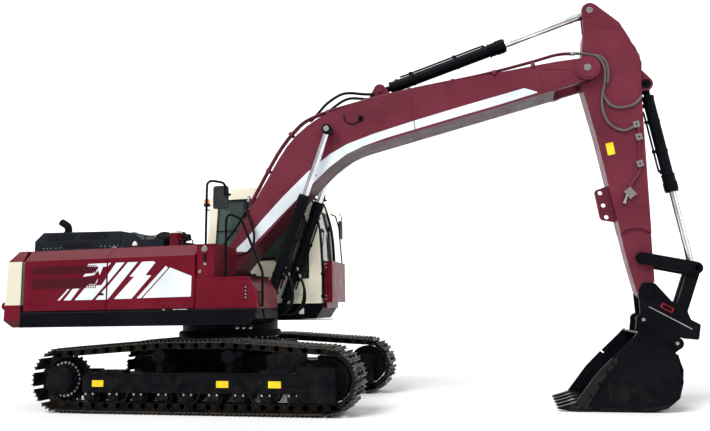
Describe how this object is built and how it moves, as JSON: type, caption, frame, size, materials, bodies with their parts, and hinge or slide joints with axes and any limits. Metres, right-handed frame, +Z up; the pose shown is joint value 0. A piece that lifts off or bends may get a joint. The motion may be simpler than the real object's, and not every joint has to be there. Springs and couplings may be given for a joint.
{
  "type": "crawler excavator",
  "caption": "Tracked excavator with slewing house, cab, boom, arm and bucket on a quick coupler; all pivots, cylinders and doors move.",
  "frame": {"origin": "middle of the parked machine's footprint box, on the ground", "axes": "+X forward along the machine and its boom, +Y to its left, +Z up"},
  "size_m": [10.622, 3.2, 5.9953],
  "materials": {
    "body_red": "satin burgundy paint",
    "cab_cream": "satin cream paint",
    "frame_black": "semi-gloss black paint",
    "track_steel": "worn brown-black steel",
    "cast_iron": "black painted castings",
    "chrome_rod": "hard chrome plate",
    "cab_glass": "green-tinted safety glass",
    "seat_cloth": "black woven cloth",
    "grey_plastic": "grained dark grey plastic"
  },
  "bodies": {
    "undercarriage": {"carbody": "frame_black", "swing_bearing": "cast_iron", "track_frame_left": "frame_black", "track_frame_right": "frame_black", "track_left": "track_steel", "track_right": "track_steel", "sprocket_left": "cast_iron", "sprocket_right": "cast_iron", "idler_left": "cast_iron", "idler_right": "cast_iron"},
    "upperstructure": {"revolving_frame": "frame_black", "counterweight": "body_red", "house_shell": "body_red", "engine_block": "cast_iron", "top_cover": "frame_black", "fuel_tank": "body_red", "hydraulic_tank": "body_red", "swing_drive": "cast_iron", "cab_shell": "cab_cream", "right_window": "cab_glass", "left_window": "cab_glass", "windshield": "cab_glass", "rear_window": "cab_glass", "seat_base": "grey_plastic", "seat_cushion": "seat_cloth", "seat_back": "seat_cloth", "front_locker": "body_red", "right_handrail": "frame_black", "right_mirror": "grey_plastic", "front_handrail": "frame_black", "left_handrail": "frame_black", "left_mirror": "grey_plastic"},
    "engine_cover": {"engine_hood": "frame_black", "exhaust_pipe": "frame_black"},
    "door_right_rear": {"right_rear_door": "body_red"},
    "door_right_front": {"right_front_door": "body_red"},
    "door_left_rear": {"left_rear_door": "body_red"},
    "door_left_front": {"left_front_door": "body_red"},
    "cab_entry": {"cab_door": "cab_cream", "door_window": "cab_glass"},
    "boom_body": {"boom": "body_red"},
    "lift_barrels": {"boom_cylinder_left": "frame_black", "boom_cylinder_right": "frame_black"},
    "lift_rods": {"boom_rod_left": "chrome_rod", "boom_rod_right": "chrome_rod"},
    "arm_barrel": {"arm_cylinder": "frame_black"},
    "arm_piston": {"arm_rod": "chrome_rod"},
    "arm_body": {"arm": "body_red"},
    "bucket_barrel": {"bucket_cylinder": "frame_black"},
    "bucket_piston": {"bucket_rod": "chrome_rod"},
    "guide_links": {"guide_link_left": "cast_iron", "guide_link_right": "cast_iron"},
    "bucket_body": {"quick_coupler": "frame_black", "bucket": "frame_black"},
    "h_link": {"bucket_link": "cast_iron"}
  },
  "joints": [
    {"name": "swing", "type": "hinge", "parent": "undercarriage", "child": "upperstructure", "pos_m": [-1.81099, 0, 1.13], "axis": [0, 0, 1], "continuous": true},
    {"name": "boom_lift", "type": "hinge", "parent": "upperstructure", "child": "boom_body", "pos_m": [-1.77099, 0, 2.09], "axis": [0, -1, 0], "range_deg": [-70, 33]},
    {"name": "arm_crowd", "type": "hinge", "parent": "boom_body", "child": "arm_body", "pos_m": [3.96895, 0, 4.90942], "axis": [0, 1, 0], "range_deg": [-65, 45]},
    {"name": "bucket_dump", "type": "hinge", "parent": "arm_body", "child": "bucket_body", "pos_m": [4.57889, 0, 1.59915], "axis": [0, -1, 0], "range_deg": [-70, 92]},
    {"name": "boom_cylinder_tilt", "type": "hinge", "parent": "upperstructure", "child": "lift_barrels", "pos_m": [-1.05099, 0, 1.45], "axis": [0, -1, 0], "range_deg": [-71, 34]},
    {"name": "boom_cylinder_stroke", "type": "slide", "parent": "lift_barrels", "child": "lift_rods", "axis": [0.3477, 0, 0.9376], "range_m": [-1.019, 0.483]},
    {"name": "arm_cylinder_tilt", "type": "hinge", "parent": "boom_body", "child": "arm_barrel", "pos_m": [0.78932, 0, 4.92967], "axis": [0, 1, 0], "range_deg": [-4.25, 3.25]},
    {"name": "arm_cylinder_stroke", "type": "slide", "parent": "arm_barrel", "child": "arm_piston", "axis": [0.9608, 0, 0.2774], "range_m": [-0.9579, 0.6647]},
    {"name": "bucket_cylinder_tilt", "type": "hinge", "parent": "arm_body", "child": "bucket_barrel", "pos_m": [4.79879, 0, 4.64949], "axis": [0, -1, 0], "range_deg": [-2.4, 2.84]},
    {"name": "bucket_cylinder_stroke", "type": "slide", "parent": "bucket_barrel", "child": "bucket_piston", "axis": [0.1551, 0, -0.9879], "range_m": [-0.6794, 0.5181]},
    {"name": "guide_link_swing", "type": "hinge", "parent": "arm_body", "child": "guide_links", "pos_m": [4.52876, 0, 2.06986], "axis": [0, -1, 0], "range_deg": [-50, 65.4]},
    {"name": "bucket_link_swing", "type": "hinge", "parent": "bucket_body", "child": "h_link", "pos_m": [4.98889, 0, 1.26915], "axis": [0, -1, 0], "range_deg": [-62.82, 48.04]},
    {"name": "hood_lift", "type": "hinge", "parent": "upperstructure", "child": "engine_cover", "pos_m": [-3.31099, 0, 2.73], "axis": [0, 1, 0], "range_deg": [0, 55]},
    {"name": "right_rear_door_hinge", "type": "hinge", "parent": "upperstructure", "child": "door_right_rear", "pos_m": [-4.57099, -1.445, 1.482], "axis": [0, 0, -1], "range_deg": [0, 100]},
    {"name": "right_front_door_hinge", "type": "hinge", "parent": "upperstructure", "child": "door_right_front", "pos_m": [-1.76099, -1.445, 1.482], "axis": [0, 0, 1], "range_deg": [0, 100]},
    {"name": "left_rear_door_hinge", "type": "hinge", "parent": "upperstructure", "child": "door_left_rear", "pos_m": [-4.57099, 1.445, 1.482], "axis": [0, 0, 1], "range_deg": [0, 95]},
    {"name": "left_front_door_hinge", "type": "hinge", "parent": "upperstructure", "child": "door_left_front", "pos_m": [-3.53699, 1.445, 1.482], "axis": [0, 0, 1], "range_deg": [0, 95]},
    {"name": "cab_door_hinge", "type": "hinge", "parent": "upperstructure", "child": "cab_entry", "pos_m": [-1.72599, 1.474, 1.6], "axis": [0, 0, 1], "range_deg": [0, 160]}
  ],
  "couplings": [
    {"joint": "boom_cylinder_tilt", "follows": "boom_lift", "ratio": 1},
    {"joint": "boom_cylinder_stroke", "follows": "boom_lift", "m_per_rad": 0.83},
    {"joint": "arm_cylinder_tilt", "follows": "arm_crowd", "ratio": 0.05},
    {"joint": "arm_cylinder_stroke", "follows": "arm_crowd", "m_per_rad": 0.84},
    {"joint": "bucket_cylinder_tilt", "follows": "bucket_dump", "ratio": 0.02},
    {"joint": "bucket_cylinder_stroke", "follows": "bucket_dump", "m_per_rad": -0.42},
    {"joint": "guide_link_swing", "follows": "bucket_dump", "ratio": 0.7},
    {"joint": "bucket_link_swing", "follows": "bucket_dump", "ratio": -0.672}
  ]
}
